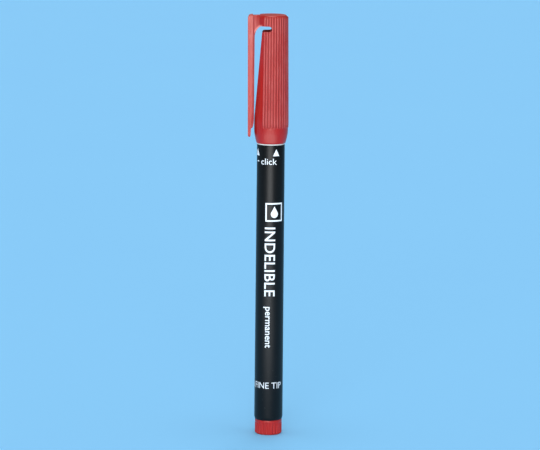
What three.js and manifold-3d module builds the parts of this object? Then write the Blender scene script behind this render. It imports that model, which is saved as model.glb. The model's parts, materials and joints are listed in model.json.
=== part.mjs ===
// A capped fibre-tip marker pen, in millimetres. +Z runs along the pen, from the flat foot of the end plug at the
// origin to the top of the cap, and the cap's clip lies on the -X side.
//
// From the outside in: a cap shell with its pocket clip, an inner cap that seals the nib, a front section that plugs
// into the barrel, a nib in its holder, an ink reservoir in a film sleeve, and an end plug.

import * as THREE from "three";
import { mergeVertices } from "three/addons/utils/BufferGeometryUtils.js";
import Module from "manifold-3d";

const wasm = await Module();
wasm.setup();

// ---- Overall sizes ----
const PEN_LENGTH = 139; // foot of the end plug to the top of the cap
const CAP_LENGTH = 42; // lip to top
const BARREL_REAR_RADIUS = 4.7;
const BARREL_FRONT_RADIUS = 4.55;
const BARREL_WALL = 0.75;

// ---- Clearances ----
const SEAT_GAP = 0.05; // between faces that rest on each other
const PRESS_GAP = 0.1; // round a piece that is pressed into another
const RUN_GAP = 0.06; // round a piece that slides in another
const CLIP_SPLIT = 0.3; // between the clip's root and the cap's head

// ---- Barrel ----
const BARREL_CHAMFER = { width: 0.22, height: 0.9 }; // at the rear end
const BARREL_RIBS = 6; // inside, to centre the reservoir and leave air channels
const BARREL_RIB_WIDTH = 0.7;
const BARREL_RIB_RUNOUT = 2; // from a rib's end to the section or the plug

// ---- End plug ----
const PLUG_HEAD = 4.85; // height of the part that shows
const PLUG_BAND = 0.95; // smooth band above the flutes
const PLUG_EDGE = 0.5; // rounding of the foot
const PLUG_FLUTES = 24;
const FLUTE_RADIUS = 0.36;
const FLUTE_DEPTH = 0.22;
const POST_GAP = 0.08; // to the cap's mouth when the cap is pushed on the plug
const SPIGOT_LENGTH = 8.5;
const SPIGOT_LEDGE = 0.62; // how far its rim reaches in under the reservoir
const SPIGOT_NOTCHES = 4; // air notches in the rim that the reservoir stands on
const NOTCH = { width: 1, depth: 1.4 };
const PLUG_FLOOR = 1.4;

// ---- Front section ----
const COLLAR = 0.35; // height of the thin collar that shows between barrel and cap
const COLLAR_STEP = 0.05; // collar's radius below the barrel's
const GRIP_STEP = 0.35; // grip's radius below the barrel's
const GRIP_LENGTH = 10; // from the lip to the front of the reservoir
const GRIP_TAPER = 0.3;
const SECTION_PLUG = 12; // length pressed into the barrel
const SECTION_WALL = 0.55;
const CLICK_BEAD = { rise: 0.16, height: 1, above_lip: 2.7 };
const SEAL_LAND = 2; // length of the land that the inner cap seals on
const NOSE_STEP = 0.5; // from the seal land down to the nose cone
const NOSE_WALL = 0.55; // round the nib holder at the tip of the nose

// ---- Nib and reservoir ----
const NIB_RADIUS = 0.75;
const NIB_EXPOSED = 3.2;
const NIB_POINT = 2.1; // length of the conical point
const NIB_POINT_RADIUS = 0.42;
const NIB_TAIL = 7; // length inside the reservoir
const NIB_CLEARANCE = 1.5; // from the tip to the end of the inner cap
const HOLDER_WALL = 0.32;
const HOLDER_EXPOSED = 1.6;
const HOLDER_LENGTH = 9;
const HOLDER_FLANGE = { rise: 0.4, height: 0.8 };
const FILM = 0.1; // thickness of the sleeve round the reservoir

// ---- Cap ----
const CAP_WALL = 1.02;
const CAP_TAPER = 0.43; // from the widest part to the top
const CAP_EDGE = 1.2; // rounding of the top
const LIP_EDGE = 0.22; // wall at the very lip
const LIP_CURVE = 4.6; // height over which the lip draws in
const CAP_BEAD = { rise: 0.1, height: 0.8, above_lip: 1.5 };
const HEAD = 3.65; // height of the head above the slit
const SLIT = 1.75; // height of the slit that frees the clip
const ROOF = 1.6; // between the slit and the chamber
const FLAT_DEPTH = 1.94; // how deep the slanted flat is cut at the slit
const FLAT_FOOT = 7.8; // from the lip to the foot of the slanted flat
const FLAT_WALL = 0.85; // between the slanted flat and the chamber
const FLAT_CORNER = 0.6;
const HEAD_FLAT = 1.15; // how deep the head is cut flat for the clip's root
const CAP_RIBS = 25; // centred on the side away from the clip
const CAP_RIB_PITCH = (2 * Math.PI) / 37;
const CAP_RIB = { radius: 0.3, rise: 0.2, above_lip: 5.2, below_top: 0.75 };
const LINER_WALL = 0.45;
const LINER_MOUTH = 15; // from the lip to the mouth of the inner cap
const LINER_END = 0.8;

// ---- Clip ----
const CLIP_GAP = 0.08; // from the clip's pad to the cap at rest
const CLIP_BACK = 0.5; // depth of the spine behind the plate
const CLIP_PLATE = 1.75; // radial thickness of the plate at the top
const CLIP_DRAFT = 0.28; // how much thinner the plate is at the tip
const CLIP_WIDTH = 4.2;
const CLIP_SPINE_WIDTH = 2.4;
const CLIP_CORNER = 1.2; // rounding of the top corner
const CLIP_ARCH = 2.2; // rounding under the root
const CLIP_TIP = { above_lip: 1.9, thickness: 0.95, length: 7.6 };
const CLIP_PAD = { above_lip: 4.8, length: 6.2 };
const CLIP_SHOULDER = 3; // height over which the plate thins towards the tip

// ---- Facets ----
const ROUND = 48;
const FINE_ROUND = 24;
const ARC = 8; // steps in a quarter turn of a profile

// ---- Stations along the pen ----
const lip = PEN_LENGTH - CAP_LENGTH;
const barrelStart = PLUG_HEAD + SEAT_GAP;
const collarTop = lip - SEAT_GAP;
const barrelEnd = collarTop - COLLAR - SEAT_GAP;
const sectionStart = barrelEnd - SECTION_PLUG;
const spigotTop = barrelStart + SPIGOT_LENGTH;
const slitTop = PEN_LENGTH - HEAD;
const slitBottom = slitTop - SLIT;
const chamberTop = slitBottom - ROOF;
const linerTop = chamberTop - SEAT_GAP;
const linerBottom = lip + LINER_MOUTH;
const nibTip = linerTop - LINER_END - NIB_CLEARANCE;
const holderFront = nibTip - NIB_EXPOSED;
const noseFront = holderFront - HOLDER_EXPOSED;
const sealStart = linerBottom + SEAT_GAP;
const sealEnd = sealStart + SEAL_LAND;
const reservoirFront = lip + GRIP_LENGTH;
const holderBack = holderFront - HOLDER_LENGTH;

// ---- Radii ----
const gripRadius = BARREL_FRONT_RADIUS - GRIP_STEP;
const beadRadius = gripRadius + CLICK_BEAD.rise;
const capBeadRadius = beadRadius + RUN_GAP;
const capBore = capBeadRadius + CAP_BEAD.rise;
const capWide = capBore + CAP_WALL;
const capTop = capWide - CAP_TAPER;
const plugHeadRadius = capBore - POST_GAP;
const barrelBoreFront = BARREL_FRONT_RADIUS - BARREL_WALL;
const barrelBoreRear = BARREL_REAR_RADIUS - BARREL_WALL;
const sectionPlugRadius = barrelBoreFront - PRESS_GAP;
const sectionBore = sectionPlugRadius - SECTION_WALL;
const filmRadius = sectionBore - PRESS_GAP;
const coreRadius = filmRadius - FILM - SEAT_GAP;
const holderRadius = NIB_RADIUS + RUN_GAP + HOLDER_WALL;
const flatAtSlit = capTop - FLAT_DEPTH;
const clipInner = capWide + CLIP_GAP;

// Distance from the axis to the cap's slanted flat at height z.
function flatAt(z) {
  const foot = lip + FLAT_FOOT;
  return THREE.MathUtils.mapLinear(z, foot, slitBottom, capWide, flatAtSlit);
}

// Radius of the cap's chamber at height z: a bore, then a cone that keeps one wall behind the slanted flat.
function chamberAt(z) {
  return Math.min(capBore, flatAt(z) - FLAT_WALL);
}

// Radius of the cap's outer cone at height z, above the lip's curve.
function coneAt(z) {
  return THREE.MathUtils.mapLinear(z, lip + LIP_CURVE, PEN_LENGTH - CAP_EDGE, capWide, capTop);
}

// Height at which the chamber's bore turns into its cone.
const chamberTurn = THREE.MathUtils.mapLinear(
  capBore + FLAT_WALL, capWide, flatAtSlit, lip + FLAT_FOOT, slitBottom,
);

// ---- Materials ----
function plastic(colour, roughness) {
  return new THREE.MeshStandardMaterial({ color: colour, roughness, metalness: 0 });
}
const redPlastic = plastic(0xb02c30, 0.4);
const blackPlastic = plastic(0x17181b, 0.45);
const whitePlastic = plastic(0xe4e2dc, 0.5);
const linerPlastic = plastic(0xeeeae0, 0.55);
const holderPlastic = plastic(0xc9c9c4, 0.45);
const inkedFibre = plastic(0xa5121c, 0.9);
const filmPlastic = plastic(0xdfe3e6, 0.25);

// ---- Helpers ----

// A closed mesh's geometry as a solid that can be cut and joined.
function solid(geometry) {
  const bare = geometry.clone();
  bare.deleteAttribute("normal");
  bare.deleteAttribute("uv");
  const merged = mergeVertices(bare, 1e-4);
  const index = merged.index.array;
  const faces = [];
  for (let i = 0; i < index.length; i += 3) {
    const [a, b, c] = index.slice(i, i + 3);
    if (a !== b && b !== c && c !== a) faces.push(a, b, c);
  }
  const vertProperties = merged.attributes.position.array;
  return new wasm.Manifold(new wasm.Mesh({ numProp: 3, vertProperties, triVerts: new Uint32Array(faces) }));
}

// The geometry of a solid.
function geometryOf(made) {
  const { vertProperties, triVerts } = made.getMesh();
  const geometry = new THREE.BufferGeometry();
  geometry.setAttribute("position", new THREE.BufferAttribute(vertProperties, 3));
  geometry.setIndex(new THREE.BufferAttribute(triVerts, 1));
  geometry.computeVertexNormals();
  return geometry;
}

// A profile of [radius, height] pairs turned round the pen's axis. It runs anticlockwise, with the axis on its left.
function turned(profile, segments = ROUND) {
  const points = profile.map(([radius, height]) => new THREE.Vector2(radius, height));
  return new THREE.LatheGeometry(points, segments).rotateX(Math.PI / 2);
}

// A ring's profile, closed on itself.
function turnedRing(profile, segments = ROUND) {
  return turned([...profile, profile[0]], segments);
}

// Points on an elliptical arc about [radius, height], from angle a to angle b in degrees.
function arc([centreRadius, centreHeight], width, height, a, b, steps = ARC) {
  return Array.from({ length: steps + 1 }, (_, i) => {
    const angle = THREE.MathUtils.degToRad(a + ((b - a) * i) / steps);
    return [centreRadius + width * Math.cos(angle), centreHeight + height * Math.sin(angle)];
  });
}

// A raised bead on a wall: its foot, crest and foot again, in order of height. A negative rise points inwards.
function bead(radius, { rise, height, above_lip }) {
  const middle = lip + above_lip;
  return [
    [radius, middle - height / 2],
    [radius + rise, middle - height / 6],
    [radius + rise, middle + height / 6],
    [radius, middle + height / 2],
  ];
}

// An outline in the XZ plane given a width across it, centred on the pen's middle plane.
function slab(shape, width) {
  const geometry = new THREE.ExtrudeGeometry(shape, { depth: width, bevelEnabled: false, curveSegments: ARC });
  return geometry.rotateX(Math.PI / 2).translate(0, width / 2, 0);
}

function node(name, geometry, material) {
  const mesh = new THREE.Mesh(geometry, material);
  mesh.name = name;
  return mesh;
}

// ---- Pieces ----

function barrel() {
  const chamferTop = barrelStart + BARREL_CHAMFER.height;
  const wall = turnedRing([
    [barrelBoreRear, barrelStart],
    [BARREL_REAR_RADIUS - BARREL_CHAMFER.width, barrelStart],
    [BARREL_REAR_RADIUS, chamferTop],
    [BARREL_FRONT_RADIUS, barrelEnd],
    [barrelBoreFront, barrelEnd],
  ]);
  const ribFoot = spigotTop + BARREL_RIB_RUNOUT;
  const ribTop = sectionStart - BARREL_RIB_RUNOUT;
  const ribInner = filmRadius + RUN_GAP;
  const ribOuter = barrelBoreFront + BARREL_WALL / 2;
  let made = solid(wall);
  for (let i = 0; i < BARREL_RIBS; i++) {
    const rib = new THREE.BoxGeometry(ribOuter - ribInner, BARREL_RIB_WIDTH, ribTop - ribFoot);
    rib.translate((ribOuter + ribInner) / 2, 0, (ribTop + ribFoot) / 2);
    rib.rotateZ((2 * Math.PI * i) / BARREL_RIBS);
    made = made.add(solid(rib));
  }
  return node("barrel", geometryOf(made), blackPlastic);
}

function endPlug() {
  const spigotRadius = barrelBoreFront - PRESS_GAP;
  const spigotBore = filmRadius - SPIGOT_LEDGE;
  const body = turned([
    [0, 0],
    ...arc([plugHeadRadius - PLUG_EDGE, PLUG_EDGE], PLUG_EDGE, PLUG_EDGE, -90, 0),
    [plugHeadRadius, PLUG_HEAD],
    [spigotRadius, PLUG_HEAD],
    [spigotRadius, spigotTop - SEAT_GAP],
    [spigotBore, spigotTop - SEAT_GAP],
    [spigotBore, PLUG_FLOOR],
    [0, PLUG_FLOOR],
  ]);
  let made = solid(body);
  const fluteTop = PLUG_HEAD - PLUG_BAND;
  for (let i = 0; i < PLUG_FLUTES; i++) {
    const flute = new THREE.CylinderGeometry(FLUTE_RADIUS, FLUTE_RADIUS, 2 * fluteTop, ARC);
    flute.rotateX(Math.PI / 2).translate(plugHeadRadius + FLUTE_RADIUS - FLUTE_DEPTH, 0, 0);
    flute.rotateZ((2 * Math.PI * (i + 0.5)) / PLUG_FLUTES);
    made = made.subtract(solid(flute));
  }
  for (let i = 0; i < SPIGOT_NOTCHES; i++) {
    const notch = new THREE.BoxGeometry(2 * spigotRadius, NOTCH.width, 2 * NOTCH.depth);
    notch.translate(spigotRadius, 0, spigotTop).rotateZ((2 * Math.PI * (i + 0.5)) / SPIGOT_NOTCHES);
    made = made.subtract(solid(notch));
  }
  return node("end_plug", geometryOf(made), redPlastic);
}

function reservoirCore() {
  const foot = spigotTop;
  const nibHole = NIB_RADIUS + PRESS_GAP;
  const holeFoot = reservoirFront - NIB_TAIL - SEAT_GAP;
  return node(
    "ink_reservoir",
    turned([
      [0, foot],
      [coreRadius, foot],
      [coreRadius, reservoirFront],
      [nibHole, reservoirFront],
      [nibHole, holeFoot],
      [0, holeFoot],
    ], FINE_ROUND),
    inkedFibre,
  );
}

function reservoirFilm() {
  const inner = filmRadius - FILM;
  return node(
    "reservoir_film",
    turnedRing([
      [inner, spigotTop],
      [filmRadius, spigotTop],
      [filmRadius, reservoirFront],
      [inner, reservoirFront],
    ], FINE_ROUND),
    filmPlastic,
  );
}

function frontSection() {
  const collarRadius = BARREL_FRONT_RADIUS - COLLAR_STEP;
  const collarFoot = collarTop - COLLAR;
  const gripEndRadius = Math.min(gripRadius - GRIP_TAPER, chamberAt(reservoirFront) - RUN_GAP);
  const sealRadius = linerInnerAt(sealEnd) - RUN_GAP;
  const noseRadius = holderRadius + NOSE_WALL;
  const boreEnd = reservoirFront + SEAT_GAP;
  const tailRadius = NIB_RADIUS + PRESS_GAP;
  const socketRadius = holderRadius + PRESS_GAP;
  const flangeRadius = socketRadius + HOLDER_FLANGE.rise;
  return node(
    "front_section",
    turnedRing([
      [sectionPlugRadius, sectionStart],
      [sectionPlugRadius, collarFoot],
      [collarRadius, collarFoot],
      [collarRadius, collarTop],
      [gripRadius, collarTop],
      ...bead(gripRadius, CLICK_BEAD),
      [gripEndRadius, reservoirFront],
      [sealRadius, sealStart],
      [sealRadius, sealEnd],
      [sealRadius - NOSE_STEP, sealEnd + NOSE_STEP],
      [noseRadius, noseFront],
      [socketRadius, noseFront],
      [socketRadius, holderBack + HOLDER_FLANGE.height],
      [flangeRadius, holderBack + HOLDER_FLANGE.height],
      [flangeRadius, holderBack - SEAT_GAP],
      [tailRadius, holderBack - SEAT_GAP],
      [tailRadius, boreEnd],
      [sectionBore, boreEnd],
      [sectionBore, sectionStart],
    ]),
    whitePlastic,
  );
}

function nibHolder() {
  const bore = NIB_RADIUS + RUN_GAP;
  const flange = holderRadius + HOLDER_FLANGE.rise;
  const flangeTop = holderBack + HOLDER_FLANGE.height - SEAT_GAP;
  return node(
    "nib_holder",
    turnedRing([
      [bore, holderBack],
      [flange, holderBack],
      [flange, flangeTop],
      [holderRadius, flangeTop],
      [holderRadius, holderFront - HOLDER_WALL],
      [holderRadius - HOLDER_WALL / 2, holderFront],
      [bore, holderFront],
    ], FINE_ROUND),
    holderPlastic,
  );
}

function nib() {
  const tail = reservoirFront - NIB_TAIL;
  const pointFoot = nibTip - NIB_POINT;
  return node(
    "nib",
    turned([
      [0, tail],
      [NIB_RADIUS / 2, tail],
      [NIB_RADIUS, tail + NIB_RADIUS],
      [NIB_RADIUS, pointFoot],
      [NIB_POINT_RADIUS, nibTip - NIB_POINT_RADIUS],
      ...arc([0, nibTip - NIB_POINT_RADIUS], NIB_POINT_RADIUS, NIB_POINT_RADIUS, 30, 90, 4),
    ], FINE_ROUND),
    inkedFibre,
  );
}

// Outer and inner radius of the inner cap at height z.
function linerOuterAt(z) {
  return chamberAt(z) - PRESS_GAP;
}
function linerInnerAt(z) {
  return linerOuterAt(z) - LINER_WALL;
}

function innerCap() {
  const innerTop = linerTop - LINER_END;
  return node(
    "inner_cap",
    turned([
      [0, innerTop],
      [linerInnerAt(innerTop), innerTop],
      [linerInnerAt(linerBottom), linerBottom],
      [linerOuterAt(linerBottom), linerBottom],
      [linerOuterAt(linerTop), linerTop],
      [0, linerTop],
    ]),
    linerPlastic,
  );
}

// What is cut away on the clip's side of the cap: everything outside the slanted flat, with the slit above it and the
// room for the clip's root beside the head.
function clipSideCut() {
  const outside = -2 * capWide;
  const foot = lip + FLAT_FOOT;
  const slitEnd = SLIT / 2;
  const headFlat = capTop - HEAD_FLAT;
  const shape = new THREE.Shape();
  shape.moveTo(outside, foot);
  shape.lineTo(-capWide, foot);
  shape.lineTo(-flatAt(slitBottom - FLAT_CORNER), slitBottom - FLAT_CORNER);
  shape.quadraticCurveTo(-flatAtSlit, slitBottom, -flatAtSlit + FLAT_CORNER, slitBottom);
  shape.lineTo(-slitEnd, slitBottom);
  shape.absarc(-slitEnd, slitBottom + slitEnd, slitEnd, -Math.PI / 2, Math.PI / 2, false);
  shape.lineTo(-headFlat, slitTop);
  shape.lineTo(-headFlat, 2 * PEN_LENGTH);
  shape.lineTo(outside, 2 * PEN_LENGTH);
  shape.closePath();
  return solid(slab(shape, 4 * capWide));
}

function capRib(angle) {
  const foot = lip + CAP_RIB.above_lip;
  const top = PEN_LENGTH - CAP_RIB.below_top;
  const sunk = CAP_RIB.radius - CAP_RIB.rise;
  const rib = new THREE.CylinderGeometry(CAP_RIB.radius, CAP_RIB.radius, top - foot, ARC);
  rib.rotateX(Math.PI / 2);
  rib.rotateY(Math.atan2(coneAt(top) - coneAt(foot), top - foot));
  rib.translate((coneAt(foot) + coneAt(top)) / 2 - sunk, 0, (foot + top) / 2);
  return solid(rib.rotateZ(angle));
}

function capShell() {
  const wide = lip + LIP_CURVE;
  const lipRadius = capBore + LIP_EDGE;
  const curve = Array.from({ length: ARC + 1 }, (_, i) => {
    const share = i / ARC;
    return [lipRadius + (capWide - lipRadius) * Math.sin((share * Math.PI) / 2), lip + LIP_CURVE * share];
  });
  const body = turned([
    [0, chamberTop],
    [chamberAt(chamberTop), chamberTop],
    [capBore, chamberTurn],
    ...bead(capBore, { ...CAP_BEAD, rise: -CAP_BEAD.rise }).reverse(),
    [capBore, lip],
    ...curve,
    [capWide, wide],
    ...arc([capTop - CAP_EDGE, PEN_LENGTH - CAP_EDGE], CAP_EDGE, CAP_EDGE, 0, 90),
    [0, PEN_LENGTH],
  ]);
  let made = solid(body);
  for (let i = 0; i < CAP_RIBS; i++) made = made.add(capRib((i - (CAP_RIBS - 1) / 2) * CAP_RIB_PITCH));
  return node("cap_shell", geometryOf(made.subtract(clipSideCut())), redPlastic);
}

function pocketClip() {
  const inner = -clipInner;
  const plateInner = inner - CLIP_BACK;
  const outerTop = plateInner - CLIP_PLATE;
  const outerTip = outerTop + CLIP_DRAFT;
  const tip = lip + CLIP_TIP.above_lip;
  const tipInner = outerTip + CLIP_TIP.thickness;
  const tipMiddle = (outerTip + tipInner) / 2;
  const shoulder = lip + CLIP_TIP.above_lip + CLIP_TIP.length;
  const root = -(capTop - HEAD_FLAT) - CLIP_SPLIT;

  const plate = new THREE.Shape();
  plate.moveTo(tipMiddle, tip);
  plate.quadraticCurveTo(tipInner, tip, tipInner, tip + CLIP_TIP.thickness);
  plate.lineTo(tipInner, shoulder);
  plate.lineTo(plateInner, shoulder + CLIP_SHOULDER);
  plate.lineTo(plateInner, PEN_LENGTH);
  plate.lineTo(outerTop + CLIP_CORNER, PEN_LENGTH);
  plate.quadraticCurveTo(outerTop, PEN_LENGTH, outerTop, PEN_LENGTH - CLIP_CORNER);
  plate.lineTo(outerTip, tip + 2 * CLIP_TIP.thickness);
  plate.quadraticCurveTo(outerTip, tip, tipMiddle, tip);

  const pad = lip + CLIP_PAD.above_lip;
  const padTop = pad + CLIP_PAD.length;
  const spine = new THREE.Shape();
  spine.moveTo(tipMiddle, pad);
  spine.lineTo(tipInner, pad);
  spine.quadraticCurveTo(inner, pad + CLIP_PAD.length / 4, inner, (pad + padTop) / 2);
  spine.lineTo(inner, slitTop - CLIP_ARCH);
  spine.quadraticCurveTo(inner, slitTop, Math.min(inner + CLIP_ARCH, root), slitTop);
  spine.lineTo(root, slitTop);
  spine.lineTo(root, PEN_LENGTH);
  spine.lineTo((plateInner + outerTop) / 2, PEN_LENGTH);
  spine.lineTo((plateInner + outerTop) / 2, padTop);
  spine.closePath();

  const made = solid(slab(plate, CLIP_WIDTH)).add(solid(slab(spine, CLIP_SPINE_WIDTH)));
  return node("pocket_clip", geometryOf(made), redPlastic);
}

const pen = new THREE.Group();
pen.add(
  endPlug(),
  barrel(),
  reservoirCore(),
  reservoirFilm(),
  frontSection(),
  nibHolder(),
  nib(),
  innerCap(),
  capShell(),
  pocketClip(),
);

export default pen;
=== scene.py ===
"""Looks of a capped fibre-tip marker pen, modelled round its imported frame.

The pen stands on its end plug. +Z runs up the pen to the top of the cap, and the cap's clip is on
the -X side.
Sizes in this script are in millimetres and become metres as a piece is made.
"""

from __future__ import annotations

import itertools
import json
import logging
import math
from contextlib import contextmanager
from dataclasses import dataclass
from enum import Enum
from itertools import pairwise
from typing import Any, Callable, Iterator, Sequence

import bmesh
import bpy
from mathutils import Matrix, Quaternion, Vector

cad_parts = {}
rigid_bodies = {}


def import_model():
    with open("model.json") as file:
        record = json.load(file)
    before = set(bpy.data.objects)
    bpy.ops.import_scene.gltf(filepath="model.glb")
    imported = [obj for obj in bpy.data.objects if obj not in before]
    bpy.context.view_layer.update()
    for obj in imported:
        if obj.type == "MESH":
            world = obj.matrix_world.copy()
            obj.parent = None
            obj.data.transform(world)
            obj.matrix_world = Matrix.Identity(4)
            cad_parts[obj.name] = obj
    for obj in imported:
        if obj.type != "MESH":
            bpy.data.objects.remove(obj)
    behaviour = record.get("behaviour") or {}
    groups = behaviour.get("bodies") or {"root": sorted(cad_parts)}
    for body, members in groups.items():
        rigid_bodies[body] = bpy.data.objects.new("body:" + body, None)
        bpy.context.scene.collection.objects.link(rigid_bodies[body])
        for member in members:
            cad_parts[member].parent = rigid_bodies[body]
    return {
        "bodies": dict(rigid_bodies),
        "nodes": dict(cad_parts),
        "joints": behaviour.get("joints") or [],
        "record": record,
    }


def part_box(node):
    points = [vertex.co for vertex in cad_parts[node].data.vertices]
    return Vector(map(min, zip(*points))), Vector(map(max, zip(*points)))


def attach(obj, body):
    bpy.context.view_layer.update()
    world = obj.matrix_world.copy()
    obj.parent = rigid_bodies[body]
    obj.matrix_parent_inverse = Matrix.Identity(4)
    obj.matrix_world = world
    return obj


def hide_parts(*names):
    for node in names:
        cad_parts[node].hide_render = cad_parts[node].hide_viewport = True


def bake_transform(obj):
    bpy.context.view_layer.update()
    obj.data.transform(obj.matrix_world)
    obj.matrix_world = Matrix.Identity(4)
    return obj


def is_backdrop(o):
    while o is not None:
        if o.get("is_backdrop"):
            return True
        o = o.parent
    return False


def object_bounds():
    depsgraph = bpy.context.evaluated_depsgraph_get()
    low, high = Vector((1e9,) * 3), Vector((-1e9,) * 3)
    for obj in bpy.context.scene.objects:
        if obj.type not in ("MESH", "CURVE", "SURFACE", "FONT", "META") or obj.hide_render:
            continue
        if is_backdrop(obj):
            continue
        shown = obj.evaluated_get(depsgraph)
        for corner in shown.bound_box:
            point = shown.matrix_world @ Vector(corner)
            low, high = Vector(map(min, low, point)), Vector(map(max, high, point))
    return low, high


LOG = logging.getLogger("pen")
MM = 0.001
WELD = 1e-7

Point = tuple[float, float]
Colour = tuple[float, float, float]
Test = Callable[[Vector], bool]


class Body(Enum):
    """The frame's moving bodies."""

    PEN = "pen"
    INNER_CAP = "inner_cap"
    CAP = "cap"
    CLIP = "clip"


class Element(Enum):
    """What an edit-mode selection is made of."""

    VERTEX = "VERT"
    EDGE = "EDGE"
    FACE = "FACE"


# --------------------------------------------------------------------------------------------------
# Modelling
# --------------------------------------------------------------------------------------------------


def arc(
    centre: Point, width: float, height: float, start: float, end: float, steps: int = 8
) -> list[Point]:
    """Points on an elliptical arc.

    Args:
        centre: The ellipse's centre.
        width: Half-width along the first coordinate.
        height: Half-height along the second coordinate.
        start: First angle in degrees.
        end: Last angle in degrees.
        steps: Number of stretches.

    Returns:
        The points from start to end.
    """
    angles = [math.radians(start + (end - start) * i / steps) for i in range(steps + 1)]
    return [(centre[0] + width * math.cos(a), centre[1] + height * math.sin(a)) for a in angles]


def rounded(before: Point, corner: Point, after: Point, reach: float, steps: int = 8) -> list[Point]:
    """Points that round a corner off.

    Args:
        before: A point on the line that comes to the corner.
        corner: The corner itself.
        after: A point on the line that leaves the corner.
        reach: How far from the corner the rounding starts and ends.
        steps: Number of stretches.

    Returns:
        The points of a smooth curve that touches both lines.
    """
    middle = Vector(corner)
    start = middle + (Vector(before) - middle).normalized() * reach
    end = middle + (Vector(after) - middle).normalized() * reach
    shares = [i / steps for i in range(steps + 1)]
    curve = [start * (1 - t) ** 2 + middle * 2 * t * (1 - t) + end * t**2 for t in shares]
    return [(point.x, point.y) for point in curve]


def around(place: Vector) -> tuple[float, float]:
    """Radius in millimetres and angle in degrees of a place about the pen's axis.

    The clip is at 180 degrees.
    """
    return math.hypot(place.x, place.y), math.degrees(math.atan2(place.y, place.x))


def take(piece: bpy.types.Object) -> None:
    """Selects one object alone and makes it active."""
    bpy.ops.object.select_all(action="DESELECT")
    piece.select_set(True)
    bpy.context.view_layer.objects.active = piece


@contextmanager
def editing(piece: bpy.types.Object) -> Iterator[None]:
    """Opens a piece in edit mode, and closes it again."""
    take(piece)
    bpy.ops.object.mode_set(mode="EDIT")
    yield
    bpy.ops.object.mode_set(mode="OBJECT")


def pick(piece: bpy.types.Object, test: Test, element: Element = Element.VERTEX) -> None:
    """Selects what passes a test, in edit mode.

    Args:
        piece: The piece being edited.
        test: Says of a place in millimetres whether the element whose middle is there is picked.
        element: What is picked.
    """
    bpy.ops.mesh.select_mode(type=element.value)
    bpy.ops.mesh.select_all(action="DESELECT")
    mesh = bmesh.from_edit_mesh(piece.data)
    if element is Element.VERTEX:
        places = ((v, v.co) for v in mesh.verts)
    else:
        places = ((f, f.calc_center_median()) for f in mesh.faces)
    for item, place in places:
        if test(place / MM):
            item.select_set(True)
    mesh.select_flush_mode()
    bmesh.update_edit_mesh(piece.data)


def modify(piece: bpy.types.Object, kind: str, **settings: Any) -> None:
    """Adds a modifier to a piece and applies it."""
    take(piece)
    modifier = piece.modifiers.new(kind.title(), kind)
    for name, value in settings.items():
        setattr(modifier, name, value)
    bpy.ops.object.modifier_apply(modifier=modifier.name)


def settle(piece: bpy.types.Object, name: str, crease: float = 40) -> bpy.types.Object:
    """Names a piece, moves its origin to the world's origin and smooths it up to a crease angle."""
    take(piece)
    piece.name = name
    piece.data.name = name
    bpy.ops.object.transform_apply(location=True, rotation=True, scale=True)
    bpy.ops.object.shade_smooth_by_angle(angle=math.radians(crease))
    return piece


def turned(
    name: str, profile: Sequence[Point], columns: int = 96, crease: float = 40
) -> bpy.types.Object:
    """Turns a piece about the pen's axis, ring by ring.

    Args:
        name: The piece's name.
        profile: Radius and height of each ring. A profile that starts and ends on the axis is
            closed with flat discs there, and any other is closed on itself.
        columns: Number of steps round the axis.
        crease: Angle in degrees up to which faces are shaded as one.

    Returns:
        The closed piece.
    """
    rings = [point for point in profile if point[0] > 0]
    bpy.ops.object.select_all(action="DESELECT")
    radius, height = rings[0]
    foot = (0, 0, height * MM)
    bpy.ops.mesh.primitive_circle_add(vertices=columns, radius=radius * MM, location=foot)
    piece = bpy.context.object
    bpy.ops.object.transform_apply(location=True, rotation=False, scale=False)
    with editing(piece):
        bpy.ops.mesh.select_all(action="SELECT")
        for (radius, height), (wider, higher) in pairwise(rings):
            rise = (0, 0, (higher - height) * MM)
            bpy.ops.mesh.extrude_edges_move(TRANSFORM_OT_translate={"value": rise})
            ratio = wider / radius
            bpy.ops.transform.resize(value=(ratio, ratio, 1), center_override=(0, 0, 0))
        bpy.ops.mesh.select_mode(type=Element.EDGE.value)
        bpy.ops.mesh.select_all(action="DESELECT")
        bpy.ops.mesh.select_non_manifold()
        if profile[0][0] > 0:
            bpy.ops.mesh.bridge_edge_loops()
        else:
            bpy.ops.mesh.fill_holes(sides=0)
        bpy.ops.mesh.select_all(action="SELECT")
        bpy.ops.mesh.normals_make_consistent(inside=False)
    return settle(piece, name, crease)


def outlined(points: Sequence[Point], across: float = 0.0) -> bpy.types.Object:
    """Draws a closed outline in the XZ plane, point by point, and fills it.

    Args:
        points: The outline's corners in order.
        across: Where the outline lies along Y.

    Returns:
        The flat figure, which faces -Y.
    """
    bpy.ops.object.select_all(action="DESELECT")
    x, z = points[0]
    bpy.ops.mesh.primitive_plane_add(size=MM, location=(x * MM, across * MM, z * MM))
    piece = bpy.context.object
    bpy.ops.object.transform_apply(location=True, rotation=False, scale=False)
    with editing(piece):
        bpy.ops.mesh.select_mode(type=Element.VERTEX.value)
        bpy.ops.mesh.select_all(action="SELECT")
        bpy.ops.mesh.merge(type="CENTER")
        for (x, z), (next_x, next_z) in pairwise([*points, points[0]]):
            move = {"value": ((next_x - x) * MM, 0, (next_z - z) * MM)}
            bpy.ops.mesh.extrude_vertices_move(TRANSFORM_OT_translate=move)
        bpy.ops.mesh.select_all(action="SELECT")
        bpy.ops.mesh.remove_doubles(threshold=WELD)
        bpy.ops.mesh.edge_face_add()
    if piece.data.polygons[0].normal.y > 0:
        with editing(piece):
            bpy.ops.mesh.select_all(action="SELECT")
            bpy.ops.mesh.flip_normals()
    return piece


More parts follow.
